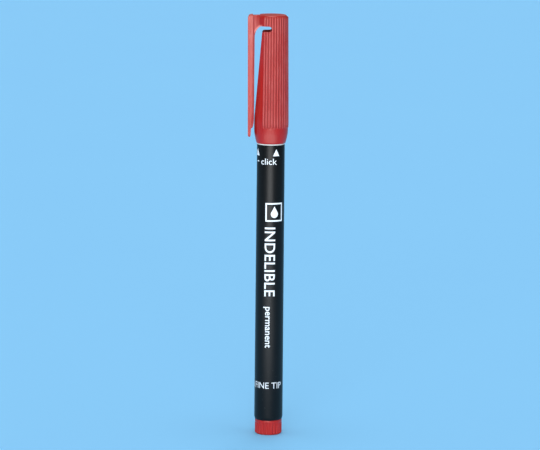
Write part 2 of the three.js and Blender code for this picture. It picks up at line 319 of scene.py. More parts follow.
def plate(name: str, outline: Sequence[Point], width: float, turn: float = 0.0) -> bpy.types.Object:
    """Extrudes an outline in the XZ plane to a width across it, centred on the pen's middle plane.

    Args:
        name: The piece's name.
        outline: The outline's corners in order.
        width: How wide the piece gets, across the outline.
        turn: Angle in degrees by which it is then turned about the pen's axis.

    Returns:
        The closed piece.
    """
    piece = outlined(outline, -width / 2)
    with editing(piece):
        bpy.ops.mesh.select_all(action="SELECT")
        bpy.ops.mesh.extrude_region_move(TRANSFORM_OT_translate={"value": (0, width * MM, 0)})
        bpy.ops.mesh.select_all(action="SELECT")
        bpy.ops.mesh.normals_make_consistent(inside=False)
    piece.rotation_euler.z = math.radians(turn)
    return settle(piece, name)


def combine(piece: bpy.types.Object, other: bpy.types.Object, operation: str) -> None:
    """Joins another solid to a piece or cuts it away, and removes the other solid.

    Args:
        piece: The piece that is kept.
        other: The solid that is used up.
        operation: UNION, DIFFERENCE or INTERSECT.
    """
    modify(piece, "BOOLEAN", operation=operation, object=other, solver="EXACT")
    bpy.data.objects.remove(other)


# --------------------------------------------------------------------------------------------------
# Materials
# --------------------------------------------------------------------------------------------------


def shade(red: int, green: int, blue: int) -> Colour:
    """A display colour from 0 to 255 as linear light."""

    def linear(value: int) -> float:
        share = value / 255
        return share / 12.92 if share <= 0.04045 else ((share + 0.055) / 1.055) ** 2.4

    return linear(red), linear(green), linear(blue)


class Signal:
    """A shader socket's value, which Python's operators combine through Math nodes."""

    def __init__(self, graph: Graph, socket: bpy.types.NodeSocket) -> None:
        """Wraps a socket of one node tree."""
        self.graph = graph
        self.socket = socket

    def _math(self, operation: str, *values: Signal | float) -> Signal:
        """Adds one Math node on the values."""
        return self.graph.add("ShaderNodeMath", {"operation": operation}, dict(enumerate(values)))

    def __add__(self, other: Signal | float) -> Signal:
        """This value plus another."""
        return self._math("ADD", self, other)

    def __radd__(self, other: float) -> Signal:
        """A number plus this value."""
        return self._math("ADD", other, self)

    def __sub__(self, other: Signal | float) -> Signal:
        """This value minus another."""
        return self._math("SUBTRACT", self, other)

    def __rsub__(self, other: float) -> Signal:
        """A number minus this value."""
        return self._math("SUBTRACT", other, self)

    def __mul__(self, other: Signal | float) -> Signal:
        """This value times another."""
        return self._math("MULTIPLY", self, other)

    def __rmul__(self, other: float) -> Signal:
        """A number times this value."""
        return self._math("MULTIPLY", other, self)

    def __truediv__(self, other: Signal | float) -> Signal:
        """This value over another."""
        return self._math("DIVIDE", self, other)

    def __pow__(self, other: float) -> Signal:
        """This value to a power."""
        return self._math("POWER", self, other)

    def ramp(self, low: float, high: float, bottom: float = 0.0, top: float = 1.0) -> Signal:
        """This value eased from bottom at low to top at high, and held outside them."""
        settings = {"interpolation_type": "SMOOTHSTEP"}
        inputs = {0: self, 1: low, 2: high, 3: bottom, 4: top}
        return self.graph.add("ShaderNodeMapRange", settings, inputs)


class Graph:
    """A node tree that grows one node at a time."""

    def __init__(self, tree: bpy.types.NodeTree) -> None:
        """Keeps the tree."""
        self.tree = tree

    def add(
        self,
        kind: str,
        settings: dict[str, Any] | None = None,
        inputs: dict[int | str, Any] | None = None,
        output: int | str = 0,
    ) -> Signal:
        """Adds a node.

        Args:
            kind: The node's type.
            settings: The node's own settings, which are set first.
            inputs: A value or a signal for each socket, by its name or number.
            output: Which output is returned.

        Returns:
            The chosen output.
        """
        node = self.tree.nodes.new(kind)
        for name, value in (settings or {}).items():
            setattr(node, name, value)
        for name, value in (inputs or {}).items():
            if isinstance(value, Signal):
                self.tree.links.new(value.socket, node.inputs[name])
            else:
                node.inputs[name].default_value = value
        return Signal(self, node.outputs[output])

    def feed(self, node: str, socket: str, value: Signal) -> None:
        """Connects a signal to a socket of one of the tree's own nodes."""
        self.tree.links.new(value.socket, self.tree.nodes[node].inputs[socket])


class Recipe(Graph):
    """One material's node tree, built round a Principled shader."""

    def __init__(self, name: str, **constants: Any) -> None:
        """Starts a material.

        Args:
            name: The material's name.
            **constants: Values of the shader's own sockets that are the same all over, with _ for
                each space.
        """
        self.material = bpy.data.materials.new(name)
        self.material.use_nodes = True
        super().__init__(self.material.node_tree)
        self.shader = self.tree.nodes["Principled BSDF"]
        for socket, value in constants.items():
            self.shader.inputs[socket.replace("_", " ")].default_value = value

    def place(self) -> Signal:
        """Places on the piece, in metres."""
        return self.add("ShaderNodeTexCoord", output="Object")

    def stretched(self, x: float, y: float, z: float) -> Signal:
        """Places on the piece, with each axis multiplied by a factor."""
        return self.add("ShaderNodeMapping", inputs={"Vector": self.place(), "Scale": (x, y, z)})

    def axes(self) -> tuple[Signal, Signal, Signal]:
        """The three coordinates of places on the piece, in metres."""
        split = self.add("ShaderNodeSeparateXYZ", inputs={0: self.place()})
        outputs = split.socket.node.outputs
        return tuple(Signal(self, outputs[i]) for i in range(3))

    def noise(
        self, vector: Signal, scale: float, detail: float = 3.0, roughness: float = 0.5
    ) -> Signal:
        """Cloudy noise from 0 to 1."""
        inputs = {"Vector": vector, "Scale": scale, "Detail": detail, "Roughness": roughness}
        return self.add("ShaderNodeTexNoise", inputs=inputs)

    def mixed(self, factor: Signal | float, first: Signal | Colour, second: Signal | Colour) -> Signal:
        """The first colour turning into the second as the factor goes from 0 to 1."""
        colours = [c if isinstance(c, Signal) else (*c, 1.0) for c in (first, second)]
        inputs = {0: factor, 6: colours[0], 7: colours[1]}
        return self.add("ShaderNodeMix", {"data_type": "RGBA"}, inputs, output=2)

    def bump(self, height: Signal, depth: float, strength: float = 1.0) -> None:
        """Roughens the surface by a height signal, whose whole range is a depth in metres."""
        inputs = {"Height": height, "Distance": depth, "Strength": strength}
        self.paint("Normal", self.add("ShaderNodeBump", inputs=inputs))

    def paint(self, socket: str, value: Signal) -> None:
        """Connects a signal to one of the shader's sockets."""
        self.feed(self.shader.name, socket, value)


@dataclass(frozen=True)
class MouldedPlastic:
    """A moulded plastic with a faint spark texture, flow marks and a slightly uneven gloss."""

    name: str
    colour: Colour
    deep: Colour
    roughness: float = 0.36
    grain: float = 0.5e-5
    specular: float = 0.5
    translucency: float = 0.0
    sheen: Colour = (1.0, 1.0, 1.0)

    def dressed(self, recipe: Recipe, tone: Signal, gloss: Signal) -> tuple[Signal, Signal]:
        """Returns the colour and the roughness as they are, for a plastic without further marks."""
        return tone, gloss

    def material(self) -> bpy.types.Material:
        """Mixes the material."""
        recipe = Recipe(
            self.name,
            Specular_IOR_Level=self.specular,
            Specular_Tint=(*self.sheen, 1.0),
            Subsurface_Weight=self.translucency,
            Subsurface_Radius=(0.002, 0.0008, 0.0006),
            Subsurface_Scale=0.3,
        )
        flow = recipe.noise(recipe.stretched(1, 1, 0.22), 420, 4, 0.55)
        cloud = recipe.noise(recipe.place(), 90, 2)
        spark = recipe.noise(recipe.place(), 9000, 2, 0.6)
        scuff = recipe.noise(recipe.stretched(1, 1, 0.06), 3800, 2, 0.5).ramp(0.62, 0.8)
        tone = (flow * 0.6 + cloud * 0.4).ramp(0.3, 0.7)
        gloss = self.roughness - 0.05 + tone * 0.06 + spark * 0.05 + scuff * 0.05
        colour, gloss = self.dressed(recipe, recipe.mixed(tone, self.deep, self.colour), gloss)
        recipe.paint("Base Color", colour)
        recipe.paint("Roughness", gloss)
        recipe.bump(spark * 0.7 + flow * 0.5 - scuff * 0.3, self.grain)
        return recipe.material


@dataclass(frozen=True)
class RibbedPlastic(MouldedPlastic):
    """The cap's plastic: its rib crests are smoother, painted highlight lies on the crests and round
    the root of its clip, and painted shade lies between the ribs.

    Attributes:
        wide: Radius of the cap's cone at its foot.
        cone_foot: Height of the cone's foot.
        cone_top: Height of the cone's top.
        narrow: Radius of the cone at its top.
        arch: Middle of the arch under the clip's root, in the clip's plane.
        arch_size: Half-width and half-height of the arch.
        rib_foot: Height of the ribs' foot.
        rib_top: Height of the ribs' top.
        rib_side: Where the ribs stop towards the clip, as x over the radius.
        slit_foot: Height of the slit's floor, which is left as rough as its cutter.
        painted_highlight: Painted highlight: the paler colour put on the clip's root and on the rib
            crests.
        valley_shade: Painted shade: the darker colour put between the ribs.
    """

    wide: float = 5.54
    cone_foot: float = 101.6
    cone_top: float = 137.8
    narrow: float = 5.11
    arch: Point = (-2.7, 131.5)
    arch_size: Point = (2.9, 3.8)
    rib_foot: float = 102.2
    rib_top: float = 138.2
    rib_side: float = -0.48
    slit_foot: float = 133.6
    # Painted highlight colour, put on the clip's root and on the rib crests.
    painted_highlight: Colour = shade(240, 150, 140)
    # Painted shade colour for the valleys between the ribs.
    valley_shade: Colour = shade(104, 10, 9)

    def dressed(self, recipe: Recipe, tone: Signal, gloss: Signal) -> tuple[Signal, Signal]:
        """Adds the crests' polish, painted highlight on the crests and round the clip's root, and
        painted shade between the ribs to the plastic's colour and roughness.
        """
        x, y, z = recipe.axes()
        slope = (self.wide - self.narrow) / (self.cone_top - self.cone_foot)
        cone = (self.wide + slope * self.cone_foot) * MM - slope * z
        radius = (x * x + y * y) ** 0.5
        crest = (radius - cone).ramp(0.05 * MM, 0.18 * MM)
        ribbed = z.ramp((self.rib_foot - 0.1) * MM, (self.rib_foot + 0.5) * MM)
        ribbed = ribbed * z.ramp((self.rib_top - 0.3) * MM, self.rib_top * MM, 1.0, 0.0)
        ribbed = ribbed * (x / radius).ramp(self.rib_side - 0.02, self.rib_side + 0.02)
        # Valleys between the ribs: painted shade in the colour, and rougher in the roughness.
        valley_shade = (radius - cone).ramp(0.01 * MM, 0.09 * MM, 1.0, 0.0) * ribbed
        # Rib crests, patchy by noise: painted highlight in the colour, and smoother in the roughness.
        crest_highlight_and_polish = crest * recipe.noise(recipe.stretched(1, 1, 0.3), 500, 3, 0.6).ramp(0.3, 0.65, 0.3, 1.0)
        # Painted highlight in a ring round the arch under the clip's root.
        across = (x - self.arch[0] * MM) / (self.arch_size[0] * MM)
        above = (z - self.arch[1] * MM) / (self.arch_size[1] * MM)
        ring = (across * across + above * above) ** 0.5
        near = ring.ramp(1.06, 1.24, 1.0, 0.0) * ring.ramp(0.9, 0.98)
        root = near * (0 - across).ramp(0.1, 0.35) * above.ramp(0.35, 0.6)
        # Share of painted highlight: some on the rib crests, more round the clip's root.
        pale = crest_highlight_and_polish * 0.23 + root * 0.75
        end = z.ramp((self.cone_top + 0.9) * MM, (self.cone_top + 1.15) * MM)
        slot = z.ramp((self.slit_foot - 0.12) * MM, (self.slit_foot - 0.04) * MM)
        slot = slot * z.ramp((self.slit_foot + 0.04) * MM, (self.slit_foot + 0.12) * MM, 1.0, 0.0)
        slot = slot * radius.ramp((self.narrow - 0.3) * MM, (self.narrow - 0.1) * MM, 1.0, 0.0)
        # Painted highlight is mixed in first, then painted shade between the ribs.
        colour = recipe.mixed(valley_shade * 0.45, recipe.mixed(pale, tone, self.painted_highlight), self.valley_shade)
        return colour, gloss - crest_highlight_and_polish * 0.15 + end * 0.2 + valley_shade * 0.22 + slot * 0.5


@dataclass(frozen=True)
class ExtrudedTube:
    """The barrel's satin black plastic, with fine lines drawn along it and a few pale dust specks."""

    name: str
    colour: Colour
    dust: Colour
    roughness: float = 0.355

    def material(self) -> bpy.types.Material:
        """Mixes the material."""
        recipe = Recipe(self.name, Specular_IOR_Level=0.26)
        drawn = recipe.noise(recipe.stretched(1, 1, 0.02), 2600, 3, 0.6)
        cloud = recipe.noise(recipe.place(), 140, 3)
        spark = recipe.noise(recipe.place(), 7000, 2, 0.6)
        speck = recipe.noise(recipe.place(), 2300, 1, 0.4).ramp(0.72, 0.82)
        tone = recipe.mixed(cloud.ramp(0.3, 0.75), self.colour, tuple(1.35 * c for c in self.colour))
        recipe.paint("Base Color", recipe.mixed(speck * 0.35, tone, self.dust))
        recipe.paint("Roughness", self.roughness - 0.04 + cloud * 0.06 + spark * 0.06 + speck * 0.1)
        recipe.bump(spark * 0.8 + drawn * 0.5, 0.6e-5)
        return recipe.material


@dataclass(frozen=True)
class PrintInk:
    """White screen-printed ink, a little thin in places."""

    name: str
    colour: Colour
    thin: Colour

    def material(self) -> bpy.types.Material:
        """Mixes the material."""
        recipe = Recipe(self.name, Specular_IOR_Level=0.4)
        mesh_marks = recipe.noise(recipe.place(), 5200, 2, 0.6)
        patch = recipe.noise(recipe.place(), 700, 3, 0.6).ramp(0.55, 0.8)
        recipe.paint("Base Color", recipe.mixed(patch * 0.5, self.colour, self.thin))
        recipe.paint("Roughness", 0.42 + mesh_marks * 0.14)
        recipe.bump(mesh_marks, 0.4e-5)
        return recipe.material


@dataclass(frozen=True)
class SoakedFibre:
    """Bundled fibre soaked with ink: fine strands along the pen, darker towards the writing end."""

    name: str
    colour: Colour
    wet: Colour
    wet_from: float
    wet_to: float

    def material(self) -> bpy.types.Material:
        """Mixes the material."""
        recipe = Recipe(self.name, Specular_IOR_Level=0.35)
        strands = recipe.noise(recipe.stretched(1, 1, 0.03), 9000, 3, 0.7)
        clumps = recipe.noise(recipe.stretched(1, 1, 0.2), 1400, 3, 0.6)
        height = recipe.axes()[2]
        wetness = (height + clumps * 0.0006).ramp(self.wet_from * MM, self.wet_to * MM)
        dry = recipe.mixed(strands.ramp(0.3, 0.7), tuple(0.7 * c for c in self.colour), self.colour)
        recipe.paint("Base Color", recipe.mixed(wetness, dry, self.wet))
        recipe.paint("Roughness", 0.85 - wetness * 0.25 - strands * 0.1)
        recipe.bump(strands + clumps * 0.5, 2.5e-5)
        return recipe.material


@dataclass(frozen=True)
class ClearFilm:
    """The thin sleeve round the reservoir, with the ink showing faintly through it."""

    name: str
    colour: Colour
    stained: Colour

    def material(self) -> bpy.types.Material:
        """Mixes the material."""
        recipe = Recipe(self.name, Specular_IOR_Level=0.6)
        wrinkles = recipe.noise(recipe.stretched(1, 1, 0.15), 900, 3, 0.6)
        recipe.paint("Base Color", recipe.mixed(wrinkles.ramp(0.35, 0.7), self.stained, self.colour))
        recipe.paint("Roughness", 0.18 + wrinkles * 0.12)
        recipe.bump(wrinkles, 1.0e-5)
        return recipe.material


@dataclass(frozen=True)
class PaleFloor:
    """A plain pale floor with hardly any grain."""

    name: str
    colour: Colour

    def material(self) -> bpy.types.Material:
        """Mixes the material."""
        recipe = Recipe(self.name, Specular_IOR_Level=0.1, Roughness=0.9)
        grain = recipe.noise(recipe.place(), 6, 2)
        paler = tuple(min(1.0, 1.02 * c) for c in self.colour)
        recipe.paint("Base Color", recipe.mixed(grain, self.colour, paler))
        return recipe.material


# --------------------------------------------------------------------------------------------------
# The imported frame
# --------------------------------------------------------------------------------------------------


class PenFrame:
    """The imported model, and the places that every piece is measured from."""

    def __init__(self) -> None:
        """Loads the frame and keeps its box."""
        self.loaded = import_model()
        self.cad_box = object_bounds()

    def low(self, node: str) -> Vector:
        """A node's lowest corner in millimetres."""
        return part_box(node)[0] / MM

    def high(self, node: str) -> Vector:
        """A node's highest corner in millimetres."""
        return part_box(node)[1] / MM

    def radius(self, node: str) -> float:
        """Half of a node's width across the clip's plane, in millimetres."""
        return (self.high(node).y - self.low(node).y) / 2

    def node(self, name: str) -> bpy.types.Object:
        """A CAD node's object."""
        return self.loaded["nodes"][name]


class SubAssembly:
    """A part of the pen that is modelled and dressed as one."""

    def __init__(self, frame: PenFrame) -> None:
        """Keeps the frame."""
        self.frame = frame

    def hold(self, piece: bpy.types.Object, body: Body) -> None:
        """Makes a piece ride on its body."""
        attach(piece, body.value)

    def dress(
        self,
        piece: bpy.types.Object,
        finish: bpy.types.Material,
        slot: str,
        body: Body,
        *stands_for: str,
    ) -> None:
        """Gives a piece its material and its place in the frame, and reports it.

        Args:
            piece: The finished piece.
            finish: Its material.
            slot: The record's material slot; not used.
            body: The body that it moves with.
            *stands_for: CAD nodes that it replaces.
        """
        piece.data.materials.clear()
        piece.data.materials.append(finish)
        if stands_for:
            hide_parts(*stands_for)
        self.hold(piece, body)
        LOG.info("%s: %d faces, on %s", piece.name, len(piece.data.polygons), body.value)


# --------------------------------------------------------------------------------------------------
# Barrel and end plug
# --------------------------------------------------------------------------------------------------


@dataclass
class BarrelSizes:
    """Sizes of the barrel tube."""

    front_radius: float = 4.55
    wall: float = 0.75
    chamfer_width: float = 0.22
    chamfer_height: float = 0.9
    rim: float = 0.06
    rib_count: int = 6
    rib_depth: float = 0.64
    rib_runout: float = 12.0
    columns: int = 144


class Barrel(SubAssembly):
    """The black tube with its centring ribs inside."""

    def __init__(self, frame: PenFrame, sizes: BarrelSizes = BarrelSizes()) -> None:
        """Reads the tube's ends and its rear radius from the frame."""
        super().__init__(frame)
        self.sizes = sizes
        self.rear = frame.low("barrel").z
        self.front = frame.high("barrel").z
        self.rear_radius = frame.radius("barrel")

    def radius_at(self, height: float) -> float:
        """The tube's outer radius at a height."""
        start = self.rear + self.sizes.chamfer_height
        share = (height - start) / (self.front - start)
        return self.rear_radius + (self.sizes.front_radius - self.rear_radius) * share

    def build(self) -> bpy.types.Object:
        """Turns the tube and raises the ribs from its bore."""
        s = self.sizes
        bore_front = s.front_radius - s.wall
        bore_rear = self.rear_radius - s.wall
        ribs_start = self.rear + s.rib_runout
        ribs_end = self.front - s.rib_runout
        ribs_rear = bore_rear + (bore_front - bore_rear) * s.rib_runout / (self.front - self.rear)
        ribs_front = bore_front + (bore_rear - bore_front) * s.rib_runout / (self.front - self.rear)
        edge = self.rear_radius - s.chamfer_width
        rim_centre = (s.front_radius - s.rim, self.front - s.rim)
        profile = [
            (bore_rear, self.rear),
            (edge - s.rim, self.rear),
            *arc((edge - s.rim, self.rear + s.rim), s.rim, s.rim, -90, -14, 3)[1:],
            (self.rear_radius - 0.02, self.rear + s.chamfer_height - 0.12),
            (self.rear_radius, self.rear + s.chamfer_height + 0.1),
            *arc(rim_centre, s.rim, s.rim, 0, 90, 3),
            (bore_front, self.front),
            (ribs_front, ribs_end),
            (ribs_rear, ribs_start),
        ]
        piece = turned("barrel_tube", profile, s.columns)
        step = 360 / s.columns

        def on_rib(place: Vector) -> bool:
            radius, angle = around(place)
            off = abs((angle + 180 / s.rib_count) % (360 / s.rib_count) - 180 / s.rib_count)
            inside = radius < bore_front + s.wall / 2 and ribs_start < place.z < ribs_end
            return inside and off < 2 * step

        with editing(piece):
            pick(piece, on_rib, Element.FACE)
            rise = {"value": s.rib_depth * MM}
            bpy.ops.mesh.extrude_region_shrink_fatten(TRANSFORM_OT_shrink_fatten=rise)
        return piece


@dataclass
class PlugSizes:
    """Sizes of the end plug."""

    head: float = 4.85
    band: float = 0.95
    edge: float = 0.55
    flutes: int = 24
    flute_depth: float = 0.24
    flute_end: float = 0.3
    spigot_radius: float = 3.7
    spigot_bore: float = 2.43
    floor: float = 1.4
    notches: int = 4
    notch_depth: float = 1.4
    columns_per_flute: int = 8


class EndPlug(SubAssembly):
    """The fluted plug at the pen's rear end."""

    def __init__(self, frame: PenFrame, sizes: PlugSizes = PlugSizes()) -> None:
        """Reads the plug's radius and length from the frame."""
        super().__init__(frame)
        self.sizes = sizes
        self.radius = frame.radius("end_plug")
        self.top = frame.high("end_plug").z

    def build(self) -> bpy.types.Object:
        """Turns the plug, presses the flutes into its head and cuts the air notches."""
        s = self.sizes
        flute_top = s.head - s.band
        rows = [flute_top * share for share in (0.3, 0.6)]
        profile = [
            (0, 0),
            (self.radius - s.edge - 0.3, 0),
            *arc((self.radius - s.edge, s.edge), s.edge, s.edge, -90, 0, 7),
            *[(self.radius, row) for row in rows],
            (self.radius, flute_top - s.flute_end),
            (self.radius, flute_top - s.flute_end / 2),
            (self.radius, flute_top),
            *arc((self.radius - 0.08, s.head - 0.08), 0.08, 0.08, 0, 90, 3),
            (s.spigot_radius, s.head),
            (s.spigot_radius, self.top - s.notch_depth),
            *arc((s.spigot_radius - 0.15, self.top - 0.15), 0.15, 0.15, 0, 90, 3),
            (s.spigot_bore, self.top),
            (s.spigot_bore, self.top - s.notch_depth),
            (s.spigot_bore, s.floor),
            (s.spigot_bore / 2, s.floor),
            (0, s.floor),
        ]
        piece = turned("end_plug_fluted", profile, s.flutes * s.columns_per_flute, 34)
        self._flute(piece, flute_top)
        self._notch(piece)
        return piece

    def _flute(self, piece: bpy.types.Object, flute_top: float) -> None:
        """Presses each flute in by its round section, fading out at its upper end."""
        s = self.sizes
        pitch = 360 / s.flutes
        step = pitch / s.columns_per_flute
        section = {0: 1.0, 1: 0.84, 2: 0.36}
        levels = [(flute_top - s.flute_end * 0.75, 1.0), (flute_top - s.flute_end * 0.25, 0.6)]
        with editing(piece):
            for column, share in section.items():
                low = -1.0
                for high, fade in levels:

                    def in_flute(
                        place: Vector, low: float = low, high: float = high, column: int = column
                    ) -> bool:
                        radius, angle = around(place)
                        off = abs((angle % pitch) - pitch / 2) / step
                        outer = radius > self.radius - s.edge * 0.75
                        return outer and low < place.z < high and abs(off - column) < 0.3

                    pick(piece, in_flute)
                    bpy.ops.transform.shrink_fatten(value=-s.flute_depth * share * fade * MM)
                    low = high

    def _notch(self, piece: bpy.types.Object) -> None:
        """Lowers the spigot's rim at the air notches."""
        s = self.sizes

        def on_notch(place: Vector) -> bool:
            radius, angle = around(place)
            off = abs((angle % (360 / s.notches)) - 180 / s.notches)
            return place.z > self.top - s.notch_depth / 2 and radius < s.spigot_radius + 0.1 and off < 9

        with editing(piece):
            pick(piece, on_notch)
            bpy.ops.transform.translate(value=(0, 0, -s.notch_depth * 0.8 * MM))


# --------------------------------------------------------------------------------------------------
# Front section, nib and what is behind them
# --------------------------------------------------------------------------------------------------


@dataclass
class SectionSizes:
    """Sizes of the white front section. Heights are from the cap's lip, unless they say otherwise."""

    collar: float = 0.35
    collar_radius: float = 4.5
    grip_radius: float = 4.2
    bead_rise: float = 0.16
    bead_height: float = 1.0
    bead_middle: float = 2.7
    grip_end: float = 10.0
    grip_end_radius: float = 3.9
    seal_start: float = 15.05
    seal_length: float = 2.0
    nose_step: float = 0.5
    nose_radius: float = 1.68
    nose_edge: float = 0.2
    plug_radius: float = 3.7
    bore: float = 3.15
    tail_bore: float = 0.85
    socket_bore: float = 1.23


class FrontSection(SubAssembly):
    """The white section that carries the nib, with the nib and its holder."""

    def __init__(self, frame: PenFrame, sizes: SectionSizes = SectionSizes()) -> None:
        """Reads the section's ends and the cap's lip from the frame."""
        super().__init__(frame)
        self.sizes = sizes
        self.lip = frame.low("cap_shell").z
        self.start = frame.low("front_section").z
        self.nose = frame.high("front_section").z
        self.seal_radius = self._seal_radius()

    def _seal_radius(self) -> float:
        """The seal land's radius: what the CAD node has at that height."""
        height = (self.lip + self.sizes.seal_start + self.sizes.seal_length / 2) * MM
        node = self.frame.node("front_section")
        reach = self.sizes.seal_length * 0.6 * MM
        near = [v.co for v in node.data.vertices if abs(v.co.z - height) < reach]
        return max(math.hypot(co.x, co.y) for co in near) / MM

    def build(self) -> bpy.types.Object:
        """Turns the section."""
        s = self.sizes
        top = self.lip - 0.05
        foot = top - s.collar
        middle = self.lip + s.bead_middle
        seal = self.lip + s.seal_start
        seal_end = seal + s.seal_length
        bore_end = self.lip + s.grip_end + 0.05
        bead = arc((s.grip_radius, middle), s.bead_rise, s.bead_height / 2, -90, 90, 8)
        step_radius = self.seal_radius - s.nose_step
        nose_middle = s.nose_radius - s.nose_edge
        profile = [
            (s.bore, self.start),
            (s.plug_radius - 0.2, self.start),
            (s.plug_radius, self.start + 0.6),
            (s.plug_radius, foot),
            (s.collar_radius - 0.05, foot),
            (s.collar_radius, foot + 0.05),
            (s.collar_radius, top - 0.05),
            (s.collar_radius - 0.05, top),
            (s.grip_radius + 0.05, top),
            (s.grip_radius, top + 0.05),
            *bead,
            (s.grip_end_radius + 0.03, self.lip + s.grip_end - 0.3),
            (s.grip_end_radius - 0.05, self.lip + s.grip_end + 0.3),
            (self.seal_radius + 0.04, seal - 0.2),
            (self.seal_radius, seal),
            (self.seal_radius, seal_end - 0.15),
            *arc((self.seal_radius - 0.15, seal_end - 0.15), 0.15, 0.15, 0, 80, 3)[1:],
            *arc((step_radius + 0.12, seal_end + s.nose_step + 0.1), 0.12, 0.12, 260, 190, 3),
            (s.nose_radius + 0.02, self.nose - s.nose_edge),
            *arc((nose_middle, self.nose - s.nose_edge), s.nose_edge, s.nose_edge, 0, 90, 4)[1:],
            (s.socket_bore, self.nose),
            (s.socket_bore, self.nose - 5.0),
            (s.tail_bore, self.nose - 7.5),
            (s.tail_bore, bore_end),
            (s.bore, bore_end),
        ]
        return turned("front_section_nose", profile, 128, 35)


@dataclass
class NibSizes:
    """Sizes of the nib and its holder."""

    radius: float = 0.75
    point: float = 2.1
    point_radius: float = 0.42
    tail_point: float = 0.5
    holder_edge: float = 0.12


class Nib(SubAssembly):
    """The fibre tip and the sleeve that grips it."""

    def __init__(self, frame: PenFrame, sizes: NibSizes = NibSizes()) -> None:
        """Reads the ends of the nib and the holder from the frame."""
        super().__init__(frame)
        self.sizes = sizes
        self.tail = frame.low("nib").z
        self.tip = frame.high("nib").z

    def build_nib(self) -> bpy.types.Object:
        """Turns the nib, with a shouldered conical point."""
        s = self.sizes
        foot = self.tip - s.point
        dome = (0.0, self.tip - s.point_radius * 0.9)
        profile = [
            (0, self.tail),
            (s.tail_point, self.tail),
            (s.radius, self.tail + s.radius),
            (s.radius, foot - 0.1),
            (s.radius - 0.02, foot + 0.05),
            *arc(dome, s.point_radius, s.point_radius * 0.9, 8, 82, 7),
            (0, self.tip),
        ]
        return turned("nib_fibre", profile, 48, 50)

    def build_holder(self) -> bpy.types.Object:
        """Turns the sleeve, with a rounded mouth and a flange at its foot."""
        s = self.sizes
        low, high = self.frame.low("nib_holder").z, self.frame.high("nib_holder").z
        flange = self.frame.radius("nib_holder")
        bore = s.radius + 0.06
        outer = bore + 0.32
        profile = [
            (bore, low),
            (flange - 0.05, low),
            (flange, low + 0.05),
            (flange, low + 0.7),
            (flange - 0.05, low + 0.75),
            (outer, low + 0.75),
            (outer, high - 0.32),
            *arc((outer - s.holder_edge, high - s.holder_edge), s.holder_edge, s.holder_edge, 0, 90, 4),
            (bore, high),
        ]
        return turned("nib_holder_sleeve", profile, 64, 35)


# --------------------------------------------------------------------------------------------------
# Cap
# --------------------------------------------------------------------------------------------------


@dataclass
class CapSizes:
    """Sizes of the cap shell. Heights above the lip or below the top are said so."""

    bore: float = 4.52
    wall: float = 1.02
    taper: float = 0.43
    lip_edge: float = 0.22
    lip_curve: float = 4.6
    edge: float = 1.2
    bead_rise: float = 0.1
    bead_height: float = 0.8
    bead_middle: float = 1.5
    head: float = 3.65
    slit: float = 1.75
    roof: float = 1.6
    flat_depth: float = 1.94
    flat_foot: float = 7.8
    flat_wall: float = 0.85
    flat_corner: float = 0.7
    head_flat: float = 1.15
    head_corner: float = 0.15
    rib_pitch: float = 360 / 37
    rib_count: int = 25
    rib_rise: float = 0.2
    rib_end: float = 0.6
    rib_foot: float = 5.2
    rib_top: float = 0.75
    columns_per_rib: int = 12
    recess: float = 0.1
    recess_foot: float = 12.0
    recess_reach: float = 59.0


